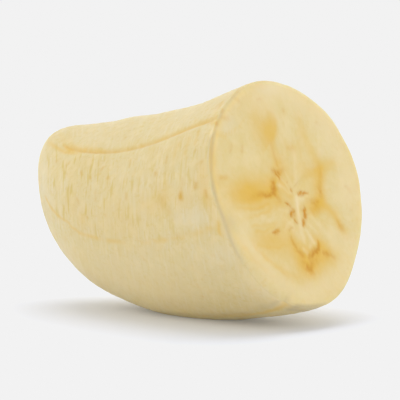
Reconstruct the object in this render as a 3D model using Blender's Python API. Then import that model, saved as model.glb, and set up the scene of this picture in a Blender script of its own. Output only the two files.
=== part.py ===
"""The blunt end of a peeled banana, cut straight across and lying on its belly.

The flesh is one solid: rounded five-sided sections lofted along a curved axis, from the cut
face at +X to the blossom end at -X. Metres, +Z up, origin under the middle of its box.
"""
import math

import bmesh
import bpy
from mathutils import Matrix, Vector

# the axis, from the cut face to the blossom end
AXIS_LENGTH = 0.0535
AXIS_STEPS = 400
PITCH_AT_CUT = math.radians(-14.44)     # the axis first runs down, away from the cut face
BEND_AT_CUT = 0.65                      # curvature at the cut face, 1/m
BEND_GROWTH = 850.0                     # what the curvature gains along the axis, 1/m per m
ROLL = math.radians(14.32)              # the piece has rolled a little towards +Y

# the section at the cut face, seen along the axis
HALF_HEIGHT = 0.0170
HALF_WIDTH = 0.01745
LOBES = (                               # lobes round the section, depth, angle of the first
    (2, -0.048, 1.000),
    (3, 0.030, 0.815),
    (4, 0.0117, 0.235),
    (5, 0.0063, 0.370),
)

# how the section shrinks along the axis
TAPER_LINEAR = 0.02
TAPER_SQUARE = -0.42
CAP_START = 0.59                        # fraction of the axis where the end cap begins

# the knife cut
CUT_LEAN_UP = 0.085                     # slope of the cut face against the section's height
CUT_LEAN_SIDE = 0.126                   # slope against its width
LEAN_FADE = 0.45                        # fraction of the axis over which the lean dies out
LEAN_FADE_POWER = 1.5
RIM_DROP = 0.00015                      # how far the rim falls back from the cut face
RIM_WIDTH = 0.0008                      # how far in the rounding reaches
SOFT_RIM_DROP = 0.0011                  # the same, where the edge has slumped
SOFT_RIM_WIDTH = 0.0034
SOFT_RIM_ANGLE = -0.72                  # where on the section the slump is, radians
SOFT_RIM_SPREAD = 0.62

# the spot it lies on
LYING_HEIGHT = 0.03597                  # from the flat of the belly up to the highest point
SPREAD_DEPTH = 0.00045                  # how far the soft belly has spread, on the far side
SPREAD_ANGLE = -1.59                    # where on the section it has spread, radians
SPREAD_WIDTH = 0.30
SPREAD_AT = 0.30                        # where along the axis, as a fraction of it
SPREAD_LENGTH = 0.30

# how finely it is made
SIDES = 72
BODY_RINGS = 25
CAP_RINGS = 22
RIM_RINGS = 4
SHARP_ANGLE = math.radians(35.0)        # faces that meet more steeply are shaded as an edge

FLESH_COLOR = (0.80, 0.68, 0.38, 1.0)
FLESH_ROUGHNESS = 0.55

COLLECTION_NAME = "peeled_banana_piece"
FLESH_NAME = "banana_flesh"


def clear_scene():
    for thing in list(bpy.data.objects):
        bpy.data.objects.remove(thing, do_unlink=True)


def add_collection(name):
    collection = bpy.data.collections.new(name)
    bpy.context.scene.collection.children.link(collection)
    return collection


def heading(s):
    """Angle of the axis below or above level, at distance s from the cut face."""
    return PITCH_AT_CUT + BEND_AT_CUT * s + BEND_GROWTH * s * s / 2.0


def axis_point(s):
    """Point of the axis at distance s, walked in short straight steps."""
    step = s / AXIS_STEPS
    x = 0.0
    z = 0.0
    for i in range(AXIS_STEPS):
        angle = heading((i + 0.5) * step)
        x -= math.cos(angle) * step
        z += math.sin(angle) * step
    return Vector((x, 0.0, z))


def section_factor(s):
    """Size of the section at distance s, against the one at the cut face."""
    v = s / AXIS_LENGTH
    taper = 1.0 + TAPER_LINEAR * v + TAPER_SQUARE * v * v
    q = max(0.0, (v - CAP_START) / (1.0 - CAP_START))
    return taper * math.sqrt(max(0.0, 1.0 - q * q))


def lobe_factor(theta):
    return 1.0 + sum(depth * math.cos(n * (theta - first)) for n, depth, first in LOBES)


def turn_from(theta, middle):
    """Angle from middle to theta, the short way round."""
    return (theta - middle + math.pi) % math.tau - math.pi


def bell(distance, width):
    return math.exp(-((distance / width) ** 2))


def spread_factor(s, theta):
    """What the soft belly gains where it bears on the table."""
    across = bell(turn_from(theta, SPREAD_ANGLE), SPREAD_WIDTH)
    along = bell(s / AXIS_LENGTH - SPREAD_AT, SPREAD_LENGTH)
    return SPREAD_DEPTH / HALF_HEIGHT * across * along


def flesh_point(s, theta, scale=1.0):
    """Point of the flesh: theta is 0 on the -Y side and a quarter turn on top."""
    angle = heading(s)
    along = Vector((-math.cos(angle), 0.0, math.sin(angle)))
    across = Vector((0.0, 1.0, 0.0))
    upward = Vector((math.sin(angle), 0.0, math.cos(angle)))
    size = section_factor(s) * (lobe_factor(theta) + spread_factor(s, theta)) * scale
    side = -math.cos(theta) * HALF_WIDTH * size
    height = math.sin(theta) * HALF_HEIGHT * size
    fade = max(0.0, 1.0 - s / (LEAN_FADE * AXIS_LENGTH)) ** LEAN_FADE_POWER
    lean = (CUT_LEAN_UP * height + CUT_LEAN_SIDE * side) * fade
    return axis_point(s) + across * side + upward * height + along * lean


def softness(theta):
    """1 where the edge of the cut has slumped, 0 where it is crisp."""
    return bell(turn_from(theta, SOFT_RIM_ANGLE), SOFT_RIM_SPREAD)


def rim_drop(theta):
    return RIM_DROP + (SOFT_RIM_DROP - RIM_DROP) * softness(theta)


def rim_width(theta):
    return RIM_WIDTH + (SOFT_RIM_WIDTH - RIM_WIDTH) * softness(theta)


def angles():
    return [math.tau * i / SIDES for i in range(SIDES)]


def rim_ring(t):
    """Ring in the rounding of the cut: t is 0 at the edge and 1 on the flat cut face."""
    ring = []
    for theta in angles():
        drop = rim_drop(theta) * (1.0 - t) ** 2
        scale = 1.0 - t * rim_width(theta) / HALF_HEIGHT
        ring.append(flesh_point(drop, theta, scale))
    return ring


def body_ring(t):
    """Ring of the side: t runs from 0 at the edge of the cut to 1 where the cap begins."""
    cap_at = CAP_START * AXIS_LENGTH
    ring = []
    for theta in angles():
        edge = rim_drop(theta)
        ring.append(flesh_point(edge + (cap_at - edge) * t, theta))
    return ring


def cap_ring(t):
    """Ring of the blossom end: t is 0 where the cap begins and 1 at its pole."""
    v = CAP_START + (1.0 - CAP_START) * math.sin(t * math.pi / 2.0)
    return [flesh_point(v * AXIS_LENGTH, theta) for theta in angles()]


def flesh_rings():
    rings = [rim_ring(1.0 - i / RIM_RINGS) for i in range(RIM_RINGS)]
    rings += [body_ring(i / BODY_RINGS) for i in range(BODY_RINGS)]
    rings += [cap_ring(i / CAP_RINGS) for i in range(CAP_RINGS)]
    return rings


def loft(rings, pole):
    """Closed mesh over the rings, with a flat face on the first and a point after the last."""
    bm = bmesh.new()
    loops = [[bm.verts.new(point) for point in ring] for ring in rings]
    end = bm.verts.new(pole)
    for near, far in zip(loops, loops[1:]):
        for i in range(SIDES):
            j = (i + 1) % SIDES
            bm.faces.new((near[i], near[j], far[j], far[i]))
    for i in range(SIDES):
        bm.faces.new((loops[-1][i], loops[-1][(i + 1) % SIDES], end))
    bm.faces.new(list(reversed(loops[0])))
    bmesh.ops.recalc_face_normals(bm, faces=bm.faces)
    mesh = bpy.data.meshes.new(FLESH_NAME)
    bm.to_mesh(mesh)
    bm.free()
    return mesh


def settle(mesh):
    """Roll the flesh, then put the middle of its box over the origin at its lying height."""
    mesh.transform(Matrix.Rotation(ROLL, 4, "X"))
    low = [min(v.co[k] for v in mesh.vertices) for k in range(3)]
    high = [max(v.co[k] for v in mesh.vertices) for k in range(3)]
    middle_x = (low[0] + high[0]) / 2.0
    middle_y = (low[1] + high[1]) / 2.0
    mesh.transform(Matrix.Translation((-middle_x, -middle_y, LYING_HEIGHT - high[2])))


def flesh_material():
    material = bpy.data.materials.new(FLESH_NAME)
    material.use_nodes = True
    shader = material.node_tree.nodes["Principled BSDF"]
    shader.inputs["Base Color"].default_value = FLESH_COLOR
    shader.inputs["Roughness"].default_value = FLESH_ROUGHNESS
    shader.inputs["Metallic"].default_value = 0.0
    return material


def add_flesh(collection):
    pole = flesh_point(AXIS_LENGTH, 0.0)
    mesh = loft(flesh_rings(), pole)
    settle(mesh)
    mesh.shade_smooth()
    mesh.set_sharp_from_angle(angle=SHARP_ANGLE)
    mesh.materials.append(flesh_material())
    flesh = bpy.data.objects.new(FLESH_NAME, mesh)
    collection.objects.link(flesh)
    return flesh


def add_ground_cutter(collection):
    """Slab under z = 0 that planes the belly flat."""
    bpy.ops.mesh.primitive_cube_add(size=1.0)
    slab = bpy.context.object
    slab.name = "ground_cutter"
    thickness = HALF_HEIGHT
    width = AXIS_LENGTH * 4.0
    slab.data.transform(Matrix.Diagonal((width, width, thickness, 1.0)))
    slab.location.z = -thickness / 2.0
    slab.hide_render = True
    slab.display_type = "WIRE"
    for owner in list(slab.users_collection):
        owner.objects.unlink(slab)
    collection.objects.link(slab)
    return slab


def plane_belly(flesh, cutter):
    cut = flesh.modifiers.new("belly_flat", "BOOLEAN")
    cut.operation = "DIFFERENCE"
    cut.solver = "EXACT"
    cut.object = cutter


def main():
    clear_scene()
    flesh = add_flesh(add_collection(COLLECTION_NAME))
    cutter = add_ground_cutter(add_collection("cutters"))
    plane_belly(flesh, cutter)


main()
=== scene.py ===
import math

import bpy
import numpy as np
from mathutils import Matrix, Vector, noise


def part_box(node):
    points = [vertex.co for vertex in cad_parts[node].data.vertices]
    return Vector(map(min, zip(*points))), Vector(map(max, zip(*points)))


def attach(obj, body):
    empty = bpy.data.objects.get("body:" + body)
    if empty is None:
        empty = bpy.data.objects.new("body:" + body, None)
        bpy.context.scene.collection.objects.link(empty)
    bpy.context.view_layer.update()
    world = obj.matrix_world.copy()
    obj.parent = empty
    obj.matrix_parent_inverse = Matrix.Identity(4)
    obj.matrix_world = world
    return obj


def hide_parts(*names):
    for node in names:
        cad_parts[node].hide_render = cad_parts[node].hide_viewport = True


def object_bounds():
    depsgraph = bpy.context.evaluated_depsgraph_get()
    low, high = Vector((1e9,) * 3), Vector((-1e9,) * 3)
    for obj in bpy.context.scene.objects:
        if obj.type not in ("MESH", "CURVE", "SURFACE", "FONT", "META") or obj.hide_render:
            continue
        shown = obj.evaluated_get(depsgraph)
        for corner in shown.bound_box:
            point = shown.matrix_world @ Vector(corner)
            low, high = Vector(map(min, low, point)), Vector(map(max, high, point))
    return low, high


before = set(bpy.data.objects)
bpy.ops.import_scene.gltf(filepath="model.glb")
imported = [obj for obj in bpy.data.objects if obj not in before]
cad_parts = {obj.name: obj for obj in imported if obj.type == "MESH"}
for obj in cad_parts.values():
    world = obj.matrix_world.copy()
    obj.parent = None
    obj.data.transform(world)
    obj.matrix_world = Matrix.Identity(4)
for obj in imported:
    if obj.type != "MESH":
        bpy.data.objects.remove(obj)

cadLow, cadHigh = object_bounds()
mm = 0.001
rng = np.random.default_rng(11)

# the proportions of the piece, the same as the solid's
flesh = {
    "axisLength": 53.5 * mm,
    "axisSteps": 4000,
    "pitchAtCut": math.radians(-14.44),
    "bendAtCut": 0.65,
    "bendGrowth": 850.0,
    "roll": math.radians(14.32),
    "halfHeight": 17.0 * mm,
    "halfWidth": 17.45 * mm,
    # lobes round the section, their depth, angle of the first
    "lobes": ((2, -0.048, 1.000), (3, 0.030, 0.815), (4, 0.0117, 0.235), (5, 0.0063, 0.370)),
    "taper": (0.02, -0.42),
    "capStart": 0.59,
    # the lean of the cut
    "leanUp": 0.085,
    "leanSide": 0.126,
    "leanFade": 0.45,
    "leanFadePower": 1.5,
    # where the soft belly has spread on the table
    "bellyDepth": 0.45 * mm,
    "bellyTurn": -1.59,
    "bellyWidth": 0.30,
    "bellyAt": 0.30,
    "bellyLength": 0.30,
    # the rounding at the rim of the cut, and the same where the rim has slumped
    "rimDrop": 0.15 * mm,
    "rimWidth": 0.8 * mm,
    "softDrop": 1.1 * mm,
    "softWidth": 3.4 * mm,
    "softTurn": -0.72,
    "softSpread": 0.62,
    # how finely it is made
    "quarter": 100,         # points on a quarter of the way round
    "core": 0.72,           # how much of the cut face has points twice as close
    "cutSpacing": (0.8, 0.725, -0.525),     # shares of r, r^3 and r^5: closest in the core and at the rim
    "rings": 150,
    "ringCrowd": 0.06,      # how far from the rim the rings stay close
    "ringCloseness": 0.7,
    "blossomFrom": 0.85,    # where the rings give way to the blossom end's grid
}


def smoothStep(low, high, x):
    t = np.clip((x - low) / (high - low), 0.0, 1.0)
    return t * t * (3.0 - 2.0 * t)


def within(x, reach):
    # 0 outside the reach and 1 in the middle of it
    low, full, fading, gone = reach
    return smoothStep(low, full, x) * (1.0 - smoothStep(fading, gone, x))


def bell(x, width):
    return np.exp(-((x / width) ** 2))


def turnFrom(theta, middle):
    return (theta - middle + math.pi) % math.tau - math.pi


def heading(s):
    return flesh["pitchAtCut"] + flesh["bendAtCut"] * s + flesh["bendGrowth"] * s * s / 2.0


def axisAt(s):
    steps = flesh["axisSteps"]
    walked = np.linspace(0.0, flesh["axisLength"], steps + 1)
    middle = heading((walked[1:] + walked[:-1]) / 2.0)
    stride = flesh["axisLength"] / steps
    x = np.concatenate(([0.0], np.cumsum(-np.cos(middle) * stride)))
    z = np.concatenate(([0.0], np.cumsum(np.sin(middle) * stride)))
    return np.interp(s, walked, x), np.interp(s, walked, z)


def sectionSize(s):
    v = s / flesh["axisLength"]
    linear, square = flesh["taper"]
    q = np.clip((v - flesh["capStart"]) / (1.0 - flesh["capStart"]), 0.0, 1.0)
    return (1.0 + linear * v + square * v * v) * np.sqrt(np.clip(1.0 - q * q, 0.0, 1.0))


def lobeSize(s, theta):
    lobes = 1.0 + sum(depth * np.cos(n * (theta - first)) for n, depth, first in flesh["lobes"])
    across = bell(turnFrom(theta, flesh["bellyTurn"]), flesh["bellyWidth"])
    lengthwise = bell(s / flesh["axisLength"] - flesh["bellyAt"], flesh["bellyLength"])
    return lobes + flesh["bellyDepth"] / flesh["halfHeight"] * across * lengthwise


def sectionPlace(s, theta, scale):
    # side and height on the section, before the piece is rolled
    size = sectionSize(s) * lobeSize(s, theta) * scale
    return -np.cos(theta) * flesh["halfWidth"] * size, np.sin(theta) * flesh["halfHeight"] * size


def fleshPoint(s, theta, scale):
    # theta is 0 on the -Y side and a quarter turn on top
    angle = heading(s)
    side, height = sectionPlace(s, theta, scale)
    fade = np.clip(1.0 - s / (flesh["leanFade"] * flesh["axisLength"]), 0.0, 1.0)
    lean = (flesh["leanUp"] * height + flesh["leanSide"] * side) * fade ** flesh["leanFadePower"]
    axisX, axisZ = axisAt(s)
    x = axisX + np.sin(angle) * height - np.cos(angle) * lean
    z = axisZ + np.cos(angle) * height + np.sin(angle) * lean
    roll = flesh["roll"]
    rolledY = side * math.cos(roll) - z * math.sin(roll)
    rolledZ = side * math.sin(roll) + z * math.cos(roll)
    return np.stack([x, rolledY, rolledZ], axis=-1)


def rimSoftness(theta):
    return bell(turnFrom(theta, flesh["softTurn"]), flesh["softSpread"])


def rimDrop(theta):
    return flesh["rimDrop"] + (flesh["softDrop"] - flesh["rimDrop"]) * rimSoftness(theta)


def rimWidth(theta):
    return flesh["rimWidth"] + (flesh["softWidth"] - flesh["rimWidth"]) * rimSoftness(theta)


# the blank is a square grid pulled round on each end, with rings between
roundCell = ((0, 0), (1, 0), (2, 0), (2, 1), (2, 2), (1, 2), (0, 2), (0, 1))


def discBlank(quarter, core):
    # radius 0..1 and angle of each point, faces, and the points of the edge in order
    cells = np.arange(quarter)
    across = 2 * quarter + 1
    inner = int(round(quarter * core / 2.0)) * 2
    low, high = quarter - inner, quarter + inner
    number = np.full((across, across), -1)
    number[::2, ::2] = 0
    if inner:
        number[low:high + 1, low:high + 1] = 0
    rows, columns = np.nonzero(number == 0)
    number[rows, columns] = np.arange(len(rows))

    faces = []
    for i in 2 * cells:
        for j in 2 * cells:
            if inner and low <= i < high and low <= j < high:
                continue
            ring = [(i + down, j + right) for down, right in roundCell]
            corners = [number[p] for p in ring if number[p] >= 0]
            if len(corners) == 5:
                # a cell beside the core has a point more, on one of its sides
                start = next(k for k in range(8) if k % 2 and number[ring[k]] >= 0)
                loop = [number[ring[(start + k) % 8]] for k in (0, 1, 3, 5, 7)]
                faces += [(loop[0], loop[k], loop[k + 1]) for k in (1, 2, 3)]
            else:
                faces.append(tuple(corners))
    for i in range(low, high):
        for j in range(low, high):
            faces.append((number[i, j], number[i + 1, j], number[i + 1, j + 1], number[i, j + 1]))

    a = rows / quarter - 1.0
    b = columns / quarter - 1.0
    radius = np.maximum(np.abs(a), np.abs(b))
    safe = np.maximum(radius, 1e-9)
    eighth = math.pi / 4.0
    flat = np.where(a < 0, math.pi, 0.0) + b / safe * np.sign(a) * eighth
    steep = np.where(b < 0, math.pi, 0.0) + math.pi / 2.0 - a / safe * np.sign(b) * eighth
    angle = np.where(np.abs(a) >= np.abs(b), flat, steep)

    far = 2 * quarter
    edge = [(far, 2 * k) for k in cells]
    edge += [(far - 2 * k, far) for k in cells]
    edge += [(0, far - 2 * k) for k in cells]
    edge += [(2 * k, 0) for k in cells]
    return radius, angle, faces, np.array([number[p] for p in edge])


def makeBlank():
    quarter = flesh["quarter"]
    around = 4 * quarter
    edgeAngle = -math.pi / 4.0 + math.tau * np.arange(around) / around
    cutRadius, cutAngle, cutFaces, cutEdge = discBlank(quarter, flesh["core"])
    tipRadius, tipAngle, tipFaces, tipEdge = discBlank(quarter, 0.0)

    # cut face
    first, second, third = flesh["cutSpacing"]
    cutScale = first * cutRadius + second * cutRadius ** 3 + third * cutRadius ** 5
    inset = (1.0 - cutScale) * flesh["halfHeight"]
    cutS = rimDrop(cutAngle) * (1.0 - np.clip(inset / rimWidth(cutAngle), 0.0, 1.0)) ** 2

    # side: rings closest at the rim
    t = np.arange(1, flesh["rings"]) / flesh["rings"]
    crowd = flesh["ringCrowd"]
    closeness = flesh["ringCloseness"]
    ringShare = (t - closeness * crowd * (1.0 - np.exp(-t / crowd))) / (1.0 - closeness * crowd)
    tipS = flesh["blossomFrom"] * flesh["axisLength"]
    edgeS = rimDrop(edgeAngle)[None, :]
    sideS = (edgeS + (tipS - edgeS) * ringShare[:, None]).ravel()
    sideAngle = np.tile(edgeAngle, len(t))

    # blossom end
    capStart = flesh["capStart"]
    lowest = math.asin((flesh["blossomFrom"] - capStart) / (1.0 - capStart))
    lift = math.pi / 2.0 - (math.pi / 2.0 - lowest) * tipRadius
    tipEndS = (capStart + (1.0 - capStart) * np.sin(lift)) * flesh["axisLength"]

    s = np.concatenate([cutS, sideS, tipEndS])
    theta = turnFrom(np.concatenate([cutAngle, sideAngle, tipAngle]), 0.0)
    scale = np.concatenate([cutScale, np.ones(len(sideS) + len(tipEndS))])
    zone = np.repeat([0, 1, 2], [len(cutS), len(sideS), len(tipEndS)])

    rings = len(cutS) + np.arange(len(sideS)).reshape(len(t), around)
    tipStart = len(cutS) + len(sideS)
    loops = np.vstack([cutEdge[None], rings, (tipStart + tipEdge)[None]])
    turned = np.roll(loops, -1, axis=1)
    sideFaces = np.stack([loops[:-1], turned[:-1], turned[1:], loops[1:]], axis=-1).reshape(-1, 4)
    faces = [face[::-1] for face in cutFaces]
    faces += sideFaces.tolist()
    faces += [tuple(tipStart + k for k in face) for face in tipFaces]
    return s, theta, scale, zone, faces, tipRadius


print("making the blank")
pointS, pointTheta, pointScale, pointZone, fleshFaces, tipRadius = makeBlank()
basePoints = fleshPoint(pointS, pointTheta, pointScale)

# the solid's box says where the piece lies
boxLow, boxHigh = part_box("banana_flesh")
shapeLow, shapeHigh = basePoints.min(axis=0), basePoints.max(axis=0)
basePoints += np.array([
    (boxLow.x + boxHigh.x - shapeLow[0] - shapeHigh[0]) / 2.0,
    (boxLow.y + boxHigh.y - shapeLow[1] - shapeHigh[1]) / 2.0,
    boxHigh.z - shapeHigh[2],
])

fleshMesh = bpy.data.meshes.new("bananaFlesh")
fleshMesh.from_pydata(basePoints.tolist(), [], fleshFaces)
fleshMesh.update()
baseNormals = np.empty(len(basePoints) * 3)
fleshMesh.vertex_normals.foreach_get("vector", baseNormals)
baseNormals = baseNormals.reshape(-1, 3)
print("blank has", len(basePoints), "points and", sum(len(f) - 2 for f in fleshFaces), "triangles")
fibreS = pointS / mm
fibreV = pointS / flesh["axisLength"]
sectionSide, sectionHeight = sectionPlace(pointS, pointTheta, pointScale)
cutPlane = np.stack([sectionSide, sectionHeight], axis=-1) / mm
roundRadius = sectionSize(pointS) * flesh["halfHeight"] / mm
onCut = pointZone == 0
onSide = ~onCut
inset = (1.0 - pointScale) * flesh["halfHeight"] / mm
behindRim = np.where(onCut, 0.0, fibreS - rimDrop(pointTheta) / mm)
placesMm = basePoints / mm

# noise on the surface: size in mm and seed
noises = {
    "edge": (2.6, 21),
    "wobbleAcross": (1.6, 1),
    "wobbleUp": (1.6, 2),
    "raggedAcross": (0.75, 31),
    "raggedUp": (0.75, 32),
    "patchy": (0.55, 33),
    "drift": (9.0, 3),
    "beads": (2.4, 4),
    "swell": (9.0, 7),
    "ripple": (3.0, 8),
    "grain": (1.0, 9),
    "cutSwell": (7.0, 12),
}
seedStep = np.array([3.1, 7.7, 1.9])
octaves = 2


def noiseAt(places, name):
    size, seed = noises[name]
    total = np.zeros(len(places))
    weight = 1.0
    for octave in range(octaves):
        shifted = (places / size + seedStep * (seed + 5 * octave)).tolist()
        total += weight * np.array([noise.noise(place) for place in shifted])
        weight *= 0.5
        size = size * 0.5
    return total


def along(path, places):
    # for each place: distance to the path, which side of it, and values carried by the path
    path = np.array(path, dtype=float)
    best = np.full(len(places), 1e9)
    side = np.zeros(len(places))
    carried = np.zeros((len(places), path.shape[1] - 2))
    for start, end in zip(path[:-1], path[1:]):
        run = end[:2] - start[:2]
        away = places - start[:2]
        t = np.clip(away @ run / max(run @ run, 1e-12), 0.0, 1.0)
        gap = away - t[:, None] * run
        distance = np.hypot(gap[:, 0], gap[:, 1])
        nearer = distance < best
        best = np.where(nearer, distance, best)
        side = np.where(nearer, np.sign(run[0] * away[:, 1] - run[1] * away[:, 0]), side)
        values = start[2:] + t[:, None] * (end[2:] - start[2:])
        carried = np.where(nearer[:, None], values, carried)
    return best, side, carried


def screen(first, second):
    return 1.0 - (1.0 - first) * (1.0 - second)


thinnest = 0.05     # half width of the thinnest stroke, in mm
dotLength = 1e-3


def strokes(marks, places):
    # each mark is a path of (across, up, half width, strength), or a dot
    total = np.zeros(len(places))
    for path in marks:
        if len(path) == 1:
            path = [path[0], (path[0][0] + dotLength,) + tuple(path[0][1:])]
        distance, _, carried = along(path, places)
        width = np.maximum(carried[:, 0], thinnest)
        total = screen(total, np.clip(carried[:, 1], 0, 1) * bell(distance, width))
    return total


def pools(marks, places):
    # each mark has a path of (across, up, strength), and how far it fades to the left and right
    total = np.zeros(len(places))
    for path, left, right in marks:
        distance, side, carried = along(path, places)
        reach = np.where(side > 0, left, right)
        total = screen(total, np.clip(carried[:, 0], 0, 1) * bell(distance, reach))
    return total


print("painting the cut face")
# where the knife's edge shows, in mm in from the rim; each part of it has the turns where it
# begins, is full, starts to fade and ends, counted downwards for the slump and the shoulder
edge = {
    "inset": 0.35,
    "drift": 0.05,
    "bottom": (-1.48, -1.24, -1.06, -0.96),
    "bottomInset": 0.20,                   # further in along the bottom, where it rolls under
    "slumped": (0.08, 0.42, 0.86, 1.02),
    "slumpInset": 0.20,                    # and at the lower left, where it has slumped
    "shoulder": (0.34, 0.58, 0.92, 1.04),  # no line of its own here, only a rounded shoulder
    # how far the colours of cut and side mix: plain, more where soft, more at the shoulder
    "mixInward": (0.25, 0.1, 0.8),
    "mixOutward": (0.30, 0.3, 0.5),
    "paleEnd": (-0.3, 0.3),                # where pale marks end along the bottom
}
bottomEdge = within(pointTheta, edge["bottom"])
slumped = within(-pointTheta, edge["slumped"])
shoulder = within(-pointTheta, edge["shoulder"])
softRim = rimSoftness(pointTheta)
# above 0 is the side, below 0 the cut face
rimAway = np.where(onCut, -inset, behindRim) + edge["inset"]
rimAway += edge["drift"] * noiseAt(placesMm, "edge")
rimAway += edge["bottomInset"] * bottomEdge
rimAway += edge["slumpInset"] * slumped


def mixReach(shares):
    plain, soft, atShoulder = shares
    return plain + soft * softRim + atShoulder * shoulder


cutShare = 1.0 - smoothStep(-mixReach(edge["mixInward"]), mixReach(edge["mixOutward"]), rimAway)

# how far noise pulls the marks about, in mm
unsteady = {
    "pools": 0.30,
    "strokes": 0.10,
    "side": 0.22,
    "brownEdge": 0.22,
    "paleEdge": 0.12,
    "brownShare": (1.15, 0.8, 0.45, 1.2),   # level, swing, least and most
}
wobble = np.stack([noiseAt(placesMm, "wobbleAcross"), noiseAt(placesMm, "wobbleUp")], axis=-1)
cutMm = placesMm[onCut]
ragged = np.stack([noiseAt(cutMm, "raggedAcross"), noiseAt(cutMm, "raggedUp")], axis=-1)
poolPlaces = cutPlane[onCut] + unsteady["pools"] * wobble[onCut]
strokePlaces = cutPlane[onCut] + unsteady["strokes"] * wobble[onCut]


def varied(values, swings):
    level, swing, least, most = swings
    return np.clip(level + swing * values, least, most)


# honey-coloured flesh round the three seed chambers
honeyPools = (
    # left chamber
    (((-13.6, 2.2, 0.2), (-12.4, 1.5, 0.4), (-11.2, 1.15, 0.6), (-9.8, 0.95, 0.75),
      (-8.2, 0.85, 0.85), (-6.4, 0.65, 0.9), (-5.0, 0.7, 0.85), (-3.9, 1.2, 0.8)), 1.5, 0.6),
    (((-13.2, 2.5, 0.45), (-11.6, 2.6, 0.72), (-9.6, 2.5, 0.8), (-7.6, 2.2, 0.66), (-5.6, 1.6, 0.4),
      (-3.0, 1.5, 0.35)), 2.0, 2.2),
    (((-4.6, 0.6, 0.6), (-4.0, -0.4, 0.5), (-3.4, -1.2, 0.3)), 0.9, 1.3),
    (((-11.0, 0.4, 0.15), (-9.0, 0.2, 0.3), (-7.0, 0.0, 0.35), (-5.6, -0.4, 0.3)), 0.6, 1.6),
    # upper chamber
    (((3.5, 12.2, 0.1), (3.0, 10.6, 0.42), (2.1, 9.1, 0.65), (1.0, 8.2, 0.55), (-0.1, 7.6, 0.4)), 0.6, 2.4),
    (((0.2, 8.2, 0.3), (-0.4, 6.8, 0.34), (-0.6, 5.4, 0.34), (-0.8, 4.0, 0.5), (-1.0, 3.0, 0.5)), 1.1, 0.9),
    # right chamber and its arc
    (((9.2, 8.8, 0.22), (8.5, 6.9, 0.32), (8.4, 5.2, 0.3), (8.7, 3.4, 0.32), (9.0, 2.0, 0.45),
      (9.0, 1.0, 0.58), (8.3, 0.1, 0.68), (7.3, -1.0, 0.66), (6.3, -2.3, 0.64), (5.4, -3.3, 0.6),
      (4.4, -3.8, 0.5), (3.2, -3.9, 0.35)), 1.1, 1.5),
    (((1.9, -4.3, 0.4), (3.0, -4.2, 0.75), (4.2, -4.0, 0.8), (5.3, -3.6, 0.6)), 1.0, 0.9),
    (((8.4, 0.9, 0.4), (10.2, 0.9, 0.42), (12.0, 0.8, 0.34), (13.8, 0.5, 0.15)), 1.0, 0.9),
    (((5.6, -3.9, 0.4), (6.4, -5.0, 0.5), (7.0, -6.4, 0.55), (7.5, -8.0, 0.7), (8.1, -9.1, 0.4)), 0.9, 1.1),
    # lower left
    (((-12.8, -4.2, 0.3), (-10.8, -4.9, 0.52), (-9.0, -5.5, 0.56), (-7.4, -6.0, 0.5),
      (-6.0, -6.4, 0.3)), 1.5, 1.7),
    # lower chamber
    (((-4.8, -5.8, 0.3), (-5.0, -7.2, 0.5), (-4.8, -8.4, 0.7), (-4.6, -9.6, 0.7),
      (-4.4, -10.8, 0.6)), 1.5, 1.5),
    (((-5.4, -10.6, 0.45), (-3.8, -11.2, 0.85), (-2.4, -11.1, 0.8), (-0.8, -10.9, 0.75),
      (0.8, -10.9, 0.78), (2.2, -11.4, 0.6), (3.5, -12.0, 0.35)), 2.0, 1.7),
    (((-2.9, -9.9, 0.4), (-1.5, -9.9, 0.65), (-0.4, -9.8, 0.7), (0.4, -9.2, 0.6)), 0.9, 0.8),
    (((0.2, -8.0, 0.35), (0.9, -9.3, 0.5), (1.8, -10.4, 0.4)), 1.0, 0.6),
)
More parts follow.
